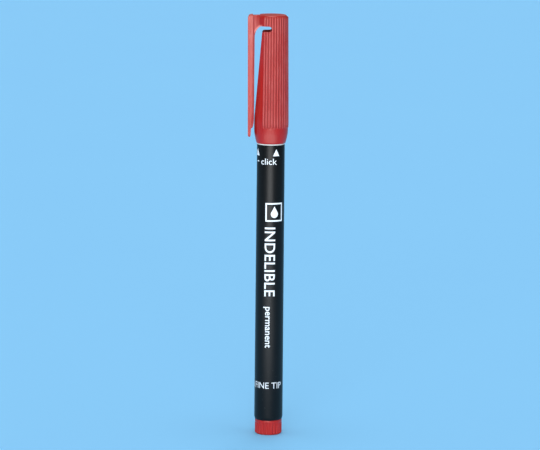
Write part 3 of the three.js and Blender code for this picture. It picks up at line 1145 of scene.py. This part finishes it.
class Cap(SubAssembly):
    """The ribbed cap shell, with its slanted flat and its slit behind the clip."""

    def __init__(self, frame: PenFrame, sizes: CapSizes = CapSizes()) -> None:
        """Reads the cap's lip and top from the frame."""
        super().__init__(frame)
        s = self.sizes = sizes
        self.lip = frame.low("cap_shell").z
        self.top = frame.high("cap_shell").z
        self.wide = s.bore + s.wall
        self.narrow = self.wide - s.taper
        self.slit_top = self.top - s.head
        self.slit_foot = self.slit_top - s.slit
        self.chamber_top = self.slit_foot - s.roof

    def flat_at(self, height: float) -> float:
        """Distance from the axis to the slanted flat at a height."""
        foot = self.lip + self.sizes.flat_foot
        share = (height - foot) / (self.slit_foot - foot)
        return self.wide - (self.wide - self.narrow + self.sizes.flat_depth) * share

    def head_flat(self) -> float:
        """Distance from the axis to the flat on the clip's side of the head."""
        return self.narrow - self.sizes.head_flat

    def cone_at(self, height: float) -> float:
        """Radius of the cap's outer cone at a height above the lip's curve."""
        start = self.lip + self.sizes.lip_curve
        share = (height - start) / (self.top - self.sizes.edge - start)
        return self.wide - self.sizes.taper * share

    def _outer_rows(self) -> list[Point]:
        """The rings of the outer wall, from the top's rounding down to the lip."""
        s = self.sizes
        rounding = arc((self.narrow - s.edge, self.top - s.edge), s.edge, s.edge, 90, 0, 9)
        recess, rib = self.lip + s.recess_foot, self.lip + s.rib_foot
        stops = [self.slit_top - 0.1, self.slit_foot, self.slit_foot - 4, self.slit_foot - 10]
        stops += [recess + 0.12, recess, rib + 1.5, rib + 0.03, rib - 0.03]
        cone = [(self.cone_at(stop), stop) for stop in stops]
        lip_radius = s.bore + s.lip_edge
        swell = self.wide - lip_radius
        curve = [
            (lip_radius + swell * math.sin(math.pi / 2 * share), self.lip + s.lip_curve * share)
            for share in (1, 0.85, 0.7, 0.55, 0.42, 0.3, 0.2, 0.1, 0.04)
        ]
        return [(self.narrow - s.edge - 0.4, self.top), *rounding, *cone, *curve]

    def _inner_rows(self) -> list[Point]:
        """The rings of the bore and the chamber, from the lip up."""
        s = self.sizes
        slant = (self.slit_foot - self.lip - s.flat_foot) / (self.wide - self.flat_at(self.slit_foot))
        turn = self.lip + s.flat_foot + (s.wall - s.flat_wall) * slant
        bead = arc((s.bore, self.lip + s.bead_middle), s.bead_rise, s.bead_height / 2, 270, 90, 6)
        chamber = self.flat_at(self.chamber_top) - s.flat_wall
        return [
            (s.bore + 0.12, self.lip),
            (s.bore, self.lip + 0.15),
            *bead,
            (s.bore, turn),
            (chamber, self.chamber_top),
            (chamber / 2, self.chamber_top),
        ]

    def build(self) -> bpy.types.Object:
        """Turns the shell, raises its ribs, sinks the panel by the clip and cuts the clip's side."""
        s = self.sizes
        columns = round(360 / s.rib_pitch) * s.columns_per_rib
        profile = [(0, self.top), *self._outer_rows(), *self._inner_rows(), (0, self.chamber_top)]
        piece = turned("cap_shell_ribbed", profile, columns, 50)
        self._raise_ribs(piece)
        self._sink_panel(piece)
        combine(piece, self._clip_side(), "DIFFERENCE")
        self._crease_flats(piece)
        return settle(piece, "cap_shell_ribbed", 42)

    def _raise_ribs(self, piece: bpy.types.Object) -> None:
        """Pushes each rib's columns out by its round section."""
        s = self.sizes
        step = s.rib_pitch / s.columns_per_rib
        section = {0: 1.0, 1: 0.96, 2: 0.82, 3: 0.5}
        reach = s.rib_pitch * (s.rib_count - 1) / 2
        foot, top = self.lip + s.rib_foot, self.top - s.rib_top
        rings = ((foot, foot + 0.1, s.rib_end), (foot + 0.1, top, 1.0))
        with editing(piece):
            for (column, share), (low, high, rise) in itertools.product(section.items(), rings):

                def on_rib(
                    place: Vector, column: int = column, low: float = low, high: float = high
                ) -> bool:
                    radius, angle = around(place)
                    nearest = round(angle / s.rib_pitch) * s.rib_pitch
                    off = abs(angle - nearest) / step
                    outer = radius > self.narrow - s.edge and low < place.z < high
                    return outer and abs(nearest) < reach + 0.5 and abs(off - column) < 0.3

                pick(piece, on_rib)
                bpy.ops.transform.shrink_fatten(value=s.rib_rise * rise * share * MM)

    def _sink_panel(self, piece: bpy.types.Object) -> None:
        """Sinks the smooth panel on both sides of the clip a little, above a ledge."""
        s = self.sizes

        def on_panel(place: Vector) -> bool:
            radius, angle = around(place)
            along = self.lip + s.recess_foot + 0.06 < place.z < self.slit_top
            return radius > self.narrow - 0.3 and along and 180 - abs(angle) < s.recess_reach

        with editing(piece):
            pick(piece, on_panel)
            bpy.ops.transform.shrink_fatten(value=-s.recess * MM)

    def _crease_flats(self, piece: bpy.types.Object) -> None:
        """Keeps the outlines of the slanted flat and the head's flat sharp."""

        def on_flat(place: Vector) -> bool:
            low, high = self.slit_foot - self.sizes.flat_corner, self.slit_top
            on_slant = place.z < low and abs(place.x + self.flat_at(place.z)) < 0.01
            return on_slant or (place.z > high and abs(place.x + self.head_flat()) < 0.01)

        with editing(piece):
            pick(piece, on_flat, Element.FACE)
            bpy.ops.mesh.region_to_loop()
            bpy.ops.mesh.mark_sharp()

    def _clip_side(self) -> bpy.types.Object:
        """What is cut away by the clip: all outside the slanted flat, the slit and the head's flat."""
        s = self.sizes
        outside = -2 * self.wide
        foot = (-self.wide - 0.001, self.lip + s.flat_foot)
        corner = (-self.flat_at(self.slit_foot), self.slit_foot)
        end = s.slit / 2
        slit_end = arc((-end, self.slit_foot + end), end, end, -90, 90, 12)
        head = -self.head_flat()
        outline = [
            (outside, foot[1]),
            foot,
            *rounded(foot, corner, slit_end[0], s.flat_corner),
            *slit_end,
            *rounded(slit_end[-1], (head, self.slit_top), (head, self.top), s.head_corner),
            (head, self.top + 1),
            (outside, self.top + 1),
        ]
        return plate("clip_side_cut", outline, 4 * self.wide)


@dataclass
class LinerSizes:
    """Sizes of the inner cap."""

    wall: float = 0.45
    end: float = 0.8
    mouth_edge: float = 0.15


class InnerCap(SubAssembly):
    """The soft sleeve inside the cap that seals round the nose."""

    def __init__(self, frame: PenFrame, sizes: LinerSizes = LinerSizes()) -> None:
        """Reads the sleeve's ends from the frame."""
        super().__init__(frame)
        self.sizes = sizes

    def build(self) -> bpy.types.Object:
        """Turns the sleeve between its mouth and its closed end."""
        s = self.sizes
        low, high = self.frame.low("inner_cap").z, self.frame.high("inner_cap").z
        mouth = self.frame.radius("inner_cap")
        node = self.frame.node("inner_cap")
        rim = [v.co for v in node.data.vertices if v.co.z > (high - 0.1) * MM]
        end = max(math.hypot(co.x, co.y) for co in rim) / MM
        slope = (mouth - end) / (high - low)
        floor = high - s.end
        profile = [
            (0, floor),
            (end / 2, floor),
            (end + slope * s.end - s.wall - 0.1, floor),
            (end + slope * (s.end + 0.15) - s.wall, floor - 0.15),
            (mouth - s.wall, low + s.mouth_edge),
            (mouth - s.wall + s.mouth_edge, low),
            (mouth - 0.08, low),
            (mouth, low + 0.08),
            (end + slope * 0.15, high - 0.15),
            (end - 0.15, high),
            (end / 2, high),
            (0, high),
        ]
        return turned("inner_cap_liner", profile, 96, 35)


@dataclass
class ClipSizes:
    """Sizes of the pocket clip."""

    width: float = 4.2
    tip_width: float = 3.8
    tip_corner: float = 1.3
    top_corner: float = 0.5
    spine_width: float = 3.7
    spine_crown: float = 2.6
    root_width: float = 2.7
    plate: float = 1.7
    back: float = 0.55
    draft: float = 0.28
    corner: float = 1.2
    arch_width: float = 2.9
    arch_height: float = 3.8
    tip_thickness: float = 0.95
    tip_length: float = 7.6
    shoulder: float = 4.0
    pad_foot: float = 4.8
    pad_length: float = 6.2
    root_depth: float = 2.9
    root_drop: float = 0.2
    edge: float = 0.16
    root_edge: float = 0.35
    bend_start: float = 1.0


class Clip(SubAssembly):
    """The pocket clip: a plate, a tapering spine behind it and a root out of the cap's head."""

    def __init__(self, frame: PenFrame, cap: Cap, sizes: ClipSizes = ClipSizes()) -> None:
        """Reads the clip's box from the frame, and the slit from the cap."""
        super().__init__(frame)
        s = self.sizes = sizes
        self.cap = cap
        self.tip = frame.low("pocket_clip").z
        self.top = frame.high("pocket_clip").z
        self.outer = frame.low("pocket_clip").x
        self.back = self.outer + s.plate
        self.inner = self.back + s.back

    def _plate(self) -> bpy.types.Object:
        """The clip's outer plate, which thins towards its rounded tip."""
        s = self.sizes
        outer_tip = self.outer + s.draft
        half = s.tip_thickness / 2
        shoulder = self.tip + s.tip_length
        outline = [
            *arc((outer_tip + half, self.tip + s.tip_thickness), half, s.tip_thickness, 180, 360, 10),
            (self.back - 0.1, shoulder),
            (self.back, shoulder + s.shoulder),
            (self.back, self.top),
            *arc((self.outer + s.corner, self.top - s.corner), s.corner, s.corner, 90, 180, 8),
        ]
        half_top, half_tip = s.width / 2, s.tip_width / 2
        tip, top = self.tip, self.top
        face = [
            *arc((half_tip - s.tip_corner, tip + s.tip_corner), s.tip_corner, s.tip_corner, -90, 0, 8),
            *arc((half_top - s.top_corner, top - s.top_corner), s.top_corner, s.top_corner, 0, 90, 6),
        ]
        face += [(-y, z) for y, z in reversed(face)]
        piece = plate("pocket_clip", outline, s.width + 1)
        combine(piece, plate("clip_face", face, 4 * self.cap.wide, 90), "INTERSECT")
        return self._softened(piece, s.edge)

    def _softened(self, piece: bpy.types.Object, edge: float) -> bpy.types.Object:
        """Rounds a piece's edges."""
        limit = math.radians(50)
        modify(piece, "BEVEL", width=edge * MM, segments=4, limit_method="ANGLE", angle_limit=limit)
        return piece

    def _spine(self) -> bpy.types.Object:
        """The spine behind the plate, narrower towards the cap, with the gripping pad at its foot."""
        s = self.sizes
        pad = self.cap.lip + s.pad_foot
        middle = (self.outer + self.back) / 2
        crown = arc((self.inner - 0.8, pad + s.pad_length / 2), 0.8, s.pad_length / 2, -80, 0, 6)
        outline = [
            (middle, pad),
            *crown,
            (self.inner, self.top - s.root_drop - 0.1),
            (middle, self.top - s.root_drop - 0.1),
        ]
        piece = plate("clip_spine", outline, s.spine_width)
        ratio = s.spine_crown / s.spine_width
        with editing(piece):
            pick(piece, lambda place: place.x > self.back - 0.3)
            bpy.ops.transform.resize(value=(1, ratio, 1), center_override=(0, 0, 0))
        return self._softened(piece, s.edge)

    def _root(self) -> bpy.types.Object:
        """The bridge from the spine into the cap's head, with the arch over the slit's mouth."""
        s = self.sizes
        start = self.back + 0.1
        end = -self.cap.narrow + s.root_depth
        arch_end = self.inner + s.arch_width
        arch_foot = self.cap.slit_top - s.arch_height
        outline = [
            (start, arch_foot),
            (self.inner, arch_foot),
            *arc((arch_end, arch_foot), s.arch_width, s.arch_height, 180, 90, 14)[1:],
            (max(end, arch_end + 0.1), self.cap.slit_top),
            (max(end, arch_end + 0.1), self.top - s.root_drop),
            (start, self.top - s.root_drop),
        ]
        return self._softened(plate("clip_root", outline, s.root_width), s.root_edge)

    def build(self) -> bpy.types.Object:
        """Joins plate, spine and root into one moulding."""
        piece = self._plate()
        combine(piece, self._spine(), "UNION")
        combine(piece, self._root(), "UNION")
        return settle(piece, "pocket_clip_moulded", 38)

    def hold(self, piece: bpy.types.Object, body: Body) -> None:
        """Bakes the piece's placement into its mesh."""
        height = self.top - self.cap.sizes.head / 2
        start = Vector((-self.cap.narrow + self.sizes.bend_start, 0, height)) * MM
        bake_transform(piece)


# --------------------------------------------------------------------------------------------------
# Print
# --------------------------------------------------------------------------------------------------


class Reading(Enum):
    """Which way a line of print runs."""

    ROUND = 0.0
    DOWN = -90.0


@dataclass(frozen=True)
class Line:
    """One line of print.

    Attributes:
        name: The piece's name.
        text: What it says.
        capital: Height of a capital letter.
        azimuth: Angle of its start, or of its baseline when it runs down, from the front towards +X.
        height: Height of its baseline, or of its start when it runs down.
        length: Its length along the line.
        weight: How much the strokes are thickened.
        reading: Which way it runs.
        spacing: How far its letters are spread.
    """

    name: str
    text: str
    capital: float
    azimuth: float
    height: float
    length: float
    weight: float
    reading: Reading
    spacing: float = 1.0


LINES = (
    Line("print_click", "click", 2.0, -42.0, 90.3, 5.4, 0.0, Reading.ROUND),
    Line("print_word", "INDELIBLE", 3.45, -21.4, 69.6, 22.9, 0.1, Reading.DOWN, 1.04),
    Line("print_ink", "permanent", 1.75, -16.5, 43.2, 13.7, 0.06, Reading.DOWN),
    Line("print_tip_size", "EXTRA FINE TIP", 2.05, -182.0, 15.8, 19.6, 0.01, Reading.ROUND),
)


@dataclass
class PrintSizes:
    """Sizes that all of the print shares, and the places of its signs."""

    thickness: float = 0.05
    stand: float = 0.015
    cell: float = 0.35
    weld: float = 0.001
    triangle_width: float = 2.2
    triangle_foot: float = 93.1
    triangle_top: float = 95.4
    triangle_azimuths: tuple[float, ...] = (23.0, 113.0, 203.0, 293.0)
    dash_azimuth: float = -63.0
    dash_length: float = 1.1
    dash_weight: float = 0.35
    dash_height: float = 91.1
    frame_width: float = 6.05
    frame_height: float = 6.15
    frame_line: float = 0.5
    frame_middle: float = 74.6
    frame_azimuth: float = 17.5


class Print(SubAssembly):
    """The white print, wrapped round the barrel as thin closed solids."""

    def __init__(self, frame: PenFrame, barrel: Barrel, sizes: PrintSizes = PrintSizes()) -> None:
        """Keeps the barrel that is printed on."""
        super().__init__(frame)
        self.barrel = barrel
        self.sizes = sizes

    def _slice(self, piece: bpy.types.Object) -> None:
        """Cuts a flat piece into narrow strips across its width, so that it can bend."""
        low = min(v.co.x for v in piece.data.vertices)
        high = max(v.co.x for v in piece.data.vertices)
        count = max(1, math.ceil((high - low) / (self.sizes.cell * MM)))
        with editing(piece):
            for i in range(1, count):
                x = low + (high - low) * i / count
                bpy.ops.mesh.select_all(action="SELECT")
                bpy.ops.mesh.bisect(plane_co=(x, 0, 0), plane_no=(1, 0, 0))

    def wrap(self, piece: bpy.types.Object, name: str, azimuth: float) -> bpy.types.Object:
        """Thickens a flat figure and bends it round the barrel.

        Args:
            piece: A figure in the XZ plane, at its height on the pen, with x running round the barrel.
            name: The finished piece's name.
            azimuth: Where x = 0 comes, from the front towards +X.

        Returns:
            The wrapped figure.
        """
        s = self.sizes
        take(piece)
        bpy.ops.object.transform_apply(location=True, rotation=True, scale=True)
        self._slice(piece)
        with editing(piece):
            bpy.ops.mesh.select_all(action="SELECT")
            bpy.ops.mesh.remove_doubles(threshold=s.weld * MM)
            depth = (0, -s.thickness * MM, 0)
            bpy.ops.mesh.extrude_region_move(TRANSFORM_OT_translate={"value": depth})
            bpy.ops.mesh.select_all(action="SELECT")
            bpy.ops.mesh.normals_make_consistent(inside=False)
        for vertex in piece.data.vertices:
            x, y, z = vertex.co
            surface = self.barrel.radius_at(z / MM)
            radius = (surface + s.stand - s.thickness) * MM - y
            angle = x / (surface * MM) + math.radians(azimuth)
            vertex.co = (radius * math.sin(angle), -radius * math.cos(angle), z)
        return settle(piece, name, 30)

    def line(self, spec: Line) -> bpy.types.Object:
        """Sets one line of text and wraps it."""
        bpy.ops.object.select_all(action="DESELECT")
        bpy.ops.object.text_add()
        text = bpy.context.object
        text.data.body = spec.text
        text.data.resolution_u = 4
        text.data.space_character = spec.spacing
        text.data.offset = spec.weight / spec.capital * 0.35
        bpy.ops.object.convert(target="MESH")
        piece = bpy.context.object
        xs = [v.co.x for v in piece.data.vertices]
        ys = [v.co.y for v in piece.data.vertices]
        across, up = spec.length / (max(xs) - min(xs)), spec.capital / max(ys)
        turn = math.radians(spec.reading.value)
        for vertex in piece.data.vertices:
            along = (vertex.co.x - min(xs)) * across
            above = vertex.co.y * up
            x = along * math.cos(turn) - above * math.sin(turn)
            z = along * math.sin(turn) + above * math.cos(turn)
            vertex.co = (x * MM, 0, (z + spec.height) * MM)
        return self.wrap(piece, spec.name, spec.azimuth)

    def triangle(self, number: int, azimuth: float) -> bpy.types.Object:
        """One of the small arrowheads under the cap's lip."""
        s = self.sizes
        outline = [
            (-s.triangle_width / 2, s.triangle_foot),
            (s.triangle_width / 2, s.triangle_foot),
            (0.0, s.triangle_top),
        ]
        return self.wrap(outlined(outline), f"print_arrow_{number}", azimuth)

    def dash(self) -> bpy.types.Object:
        """The dash before the word under the arrowheads."""
        s = self.sizes
        half = s.dash_length / 2
        low, high = s.dash_height, s.dash_height + s.dash_weight
        outline = [(-half, low), (half, low), (half, high), (-half, high)]
        return self.wrap(outlined(outline), "print_dash", s.dash_azimuth)

    def emblem_frame(self) -> bpy.types.Object:
        """The square frame above the word."""
        s = self.sizes
        middle, upright = (0, 0, s.frame_middle * MM), (math.pi / 2, 0, 0)
        bpy.ops.object.select_all(action="DESELECT")
        bpy.ops.mesh.primitive_plane_add(size=MM, location=middle, rotation=upright)
        piece = bpy.context.object
        piece.scale = (s.frame_width, s.frame_height, 1)
        bpy.ops.object.transform_apply(location=False, rotation=False, scale=True)
        with editing(piece):
            bpy.ops.mesh.select_all(action="SELECT")
            bpy.ops.mesh.inset(thickness=s.frame_line * MM)
            bpy.ops.mesh.delete(type="FACE")
        return self.wrap(piece, "print_frame", s.frame_azimuth)

    def emblem_drop(self) -> bpy.types.Object:
        """A plain ink drop inside the frame."""
        s = self.sizes
        radius = s.frame_height * 0.2
        middle = s.frame_middle - s.frame_height * 0.1
        tip = (0.0, s.frame_middle + s.frame_height * 0.32)
        outline = [*arc((0, middle), radius, radius, 150, 390, 16), tip]
        return self.wrap(outlined(outline), "print_drop", s.frame_azimuth)

    def build(self) -> list[bpy.types.Object]:
        """Makes all of the print."""
        arrows = [self.triangle(i + 1, a) for i, a in enumerate(self.sizes.triangle_azimuths)]
        signs = [self.dash(), self.emblem_frame(), self.emblem_drop()]
        return [*arrows, *signs, *[self.line(spec) for spec in LINES]]


# --------------------------------------------------------------------------------------------------
# Studio
# --------------------------------------------------------------------------------------------------


@dataclass(frozen=True)
class SoftLight:
    """A wide soft light so far off that it falls evenly on the pen and the floor.

    Attributes:
        name: The light's name.
        azimuth: Where it comes from, from the front towards +X, in degrees.
        elevation: How high it stands, in degrees.
        spread: How wide it looks from the pen, in degrees.
        strength: What falls on a surface that faces it.
    """

    name: str
    azimuth: float
    elevation: float
    spread: float
    strength: float


@dataclass(frozen=True)
class SoftCard:
    """A lit card that lies on the floor in front of the pen and shines straight up, out of sight.

    Attributes:
        name: The card's name.
        centre: Where its middle lies, in millimetres.
        side: How long and wide it is, in millimetres.
        power: How much light it gives.
    """

    name: str
    centre: tuple[float, float, float]
    side: float
    power: float


@dataclass(frozen=True)
class Surround:
    """The plain surround's brightness.

    Attributes:
        horizon: How bright it is at the horizon.
        zenith: How bright it is overhead.
        rise: Sine of the elevation up to which it stays as it is at the horizon.
    """

    horizon: float
    zenith: float
    rise: float


@dataclass(frozen=True)
class Viewpoint:
    """Where the camera stands and what it is aimed at."""

    distance: float = 900.0
    height: float = 208.0
    aim_height: float = 69.75
    aim_side: float = -0.05
    lens: float = 184.7
    roll: float = 0.55


LIGHTS = (
    SoftLight("key", -4.5, 5, 40, 3.0),
    SoftLight("top", 0, 88, 30, 1.31),
    SoftLight("left_fill", -105, 25, 60, 0.18),
    SoftLight("right_fill", 85, 38, 60, 0.12),
    SoftLight("back_fill", 170, 45, 40, 0.5),
)


CARD = SoftCard("front_card", (-35.0, -250.0, 3.0), 300.0, 0.8)
SURROUND = Surround(horizon=0.03, zenith=0.38, rise=0.05)
FLOOR_PALE = PaleFloor("pale_floor", shade(138, 207, 255))


class Studio:
    """The floor, the lights and the camera."""

    def __init__(self, viewpoint: Viewpoint = Viewpoint()) -> None:
        """Keeps the viewpoint."""
        self.viewpoint = viewpoint

    def camera(self) -> None:
        """Stands the camera in front of the pen, a little above it."""
        v = self.viewpoint
        data = bpy.data.cameras.new("camera")
        data.lens = v.lens
        data.clip_start, data.clip_end = 0.01, 50
        camera = bpy.data.objects.new("camera", data)
        bpy.context.scene.collection.objects.link(camera)
        camera.location = Vector((0, -v.distance, v.height)) * MM
        aim = Vector((v.aim_side, 0, v.aim_height)) * MM
        look = (aim - camera.location).to_track_quat("-Z", "Y")
        camera.rotation_mode = "QUATERNION"
        camera.rotation_quaternion = look @ Quaternion((0, 0, 1), math.radians(v.roll))
        bpy.context.scene.camera = camera

    def floor(self) -> None:
        """Lays the floor under the pen."""
        bpy.ops.object.select_all(action="DESELECT")
        bpy.ops.mesh.primitive_plane_add(size=30)
        floor = bpy.context.object
        floor.name = "floor"
        floor.data.materials.append(FLOOR_PALE.material())
        floor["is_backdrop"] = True

    def lights(self) -> None:
        """Hangs the soft lights."""
        for light in LIGHTS:
            a, e = math.radians(light.azimuth), math.radians(light.elevation)
            back = Vector((math.sin(a) * math.cos(e), -math.cos(a) * math.cos(e), math.sin(e)))
            data = bpy.data.lights.new(light.name, "SUN")
            data.angle = math.radians(light.spread)
            data.energy = light.strength
            lamp = bpy.data.objects.new(light.name, data)
            lamp.location = back * 3
            lamp.rotation_mode = "QUATERNION"
            lamp.rotation_quaternion = (-back).to_track_quat("-Z", "Y")
            bpy.context.scene.collection.objects.link(lamp)

    def card(self) -> None:
        """Lays the lit card before the pen."""
        data = bpy.data.lights.new(CARD.name, "AREA")
        data.size = CARD.side * MM
        data.energy = CARD.power
        lamp = bpy.data.objects.new(CARD.name, data)
        lamp.location = Vector(CARD.centre) * MM
        lamp.rotation_euler.x = math.pi
        lamp.visible_camera = False
        bpy.context.scene.collection.objects.link(lamp)

    def surround(self) -> None:
        """Sets a plain surround that is dim at the horizon and bright overhead."""
        world = bpy.data.worlds.new("surround")
        world.use_nodes = True
        graph = Graph(world.node_tree)
        way = graph.add("ShaderNodeTexCoord", output="Generated")
        rise = graph.add("ShaderNodeSeparateXYZ", inputs={0: way}, output=2)
        inputs = {0: rise, 1: SURROUND.rise, 2: 1.0, 3: SURROUND.horizon, 4: SURROUND.zenith}
        graph.feed("Background", "Strength", graph.add("ShaderNodeMapRange", inputs=inputs))
        world.node_tree.nodes["Background"].inputs["Color"].default_value = (1.0, 1.0, 1.0, 1.0)
        bpy.context.scene.world = world
        bpy.context.scene.view_settings.view_transform = "Standard"

    def build(self) -> None:
        """Makes the studio."""
        self.camera()
        self.floor()
        self.lights()
        self.card()
        self.surround()


# --------------------------------------------------------------------------------------------------
# The pen
# --------------------------------------------------------------------------------------------------

WARM = (1.0, 0.86, 0.78)
CAP_RED = RibbedPlastic(
    "cap_red", shade(170, 24, 20), shade(161, 21, 17), 0.33, specular=0.5, sheen=WARM
)
PLUG_RED = MouldedPlastic("plug_red", shade(202, 36, 31), shade(192, 32, 28), 0.36, sheen=WARM)
SECTION_WHITE = MouldedPlastic(
    "section_white", shade(222, 220, 214), shade(214, 211, 204), 0.42, translucency=0.1
)
LINER_NATURAL = MouldedPlastic(
    "liner_natural", shade(238, 232, 218), shade(228, 220, 204), 0.5, translucency=0.2
)
HOLDER_GREY = MouldedPlastic("holder_grey", shade(205, 204, 198), shade(192, 191, 186), 0.4)
BARREL_BLACK = ExtrudedTube("barrel_black", shade(9, 9, 9), shade(90, 92, 94))
INK_WHITE = PrintInk("print_white", shade(244, 246, 248), shade(196, 202, 208))
NIB_RED = SoakedFibre("nib_red", shade(196, 40, 50), shade(120, 8, 18), 121.0, 128.6)
CORE_RED = SoakedFibre("core_red", shade(188, 34, 44), shade(140, 14, 24), 20.0, 100.0)
FILM_CLEAR = ClearFilm("film_clear", shade(222, 214, 214), shade(204, 120, 124))


def main() -> None:
    """Builds the pen and its studio."""
    logging.basicConfig(level=logging.INFO, format="%(name)s: %(message)s")
    frame = PenFrame()
    Studio().build()

    barrel = Barrel(frame)
    barrel.dress(barrel.build(), BARREL_BLACK.material(), "barrel_black", Body.PEN, "barrel")

    plug = EndPlug(frame)
    plug.dress(plug.build(), PLUG_RED.material(), "plug_red", Body.PEN, "end_plug")

    section = FrontSection(frame)
    section.dress(section.build(), SECTION_WHITE.material(), "section_white", Body.PEN, "front_section")

    nib = Nib(frame)
    nib.dress(nib.build_nib(), NIB_RED.material(), "fibre_red", Body.PEN, "nib")
    nib.dress(nib.build_holder(), HOLDER_GREY.material(), "holder_grey", Body.PEN, "nib_holder")

    for node, finish in (("ink_reservoir", CORE_RED), ("reservoir_film", FILM_CLEAR)):
        frame.node(node).data.materials.clear()
        frame.node(node).data.materials.append(finish.material())

    liner = InnerCap(frame)
    liner.dress(liner.build(), LINER_NATURAL.material(), "liner_natural", Body.INNER_CAP, "inner_cap")

    red = CAP_RED.material()
    cap = Cap(frame)
    cap.dress(cap.build(), red, "cap_red", Body.CAP, "cap_shell")

    clip = Clip(frame, cap)
    clip.dress(clip.build(), red, "cap_red", Body.CLIP, "pocket_clip")

    ink = INK_WHITE.material()
    printing = Print(frame, barrel)
    for figure in printing.build():
        printing.dress(figure, ink, "print_white", Body.PEN)


if __name__ == "__main__":
    main()
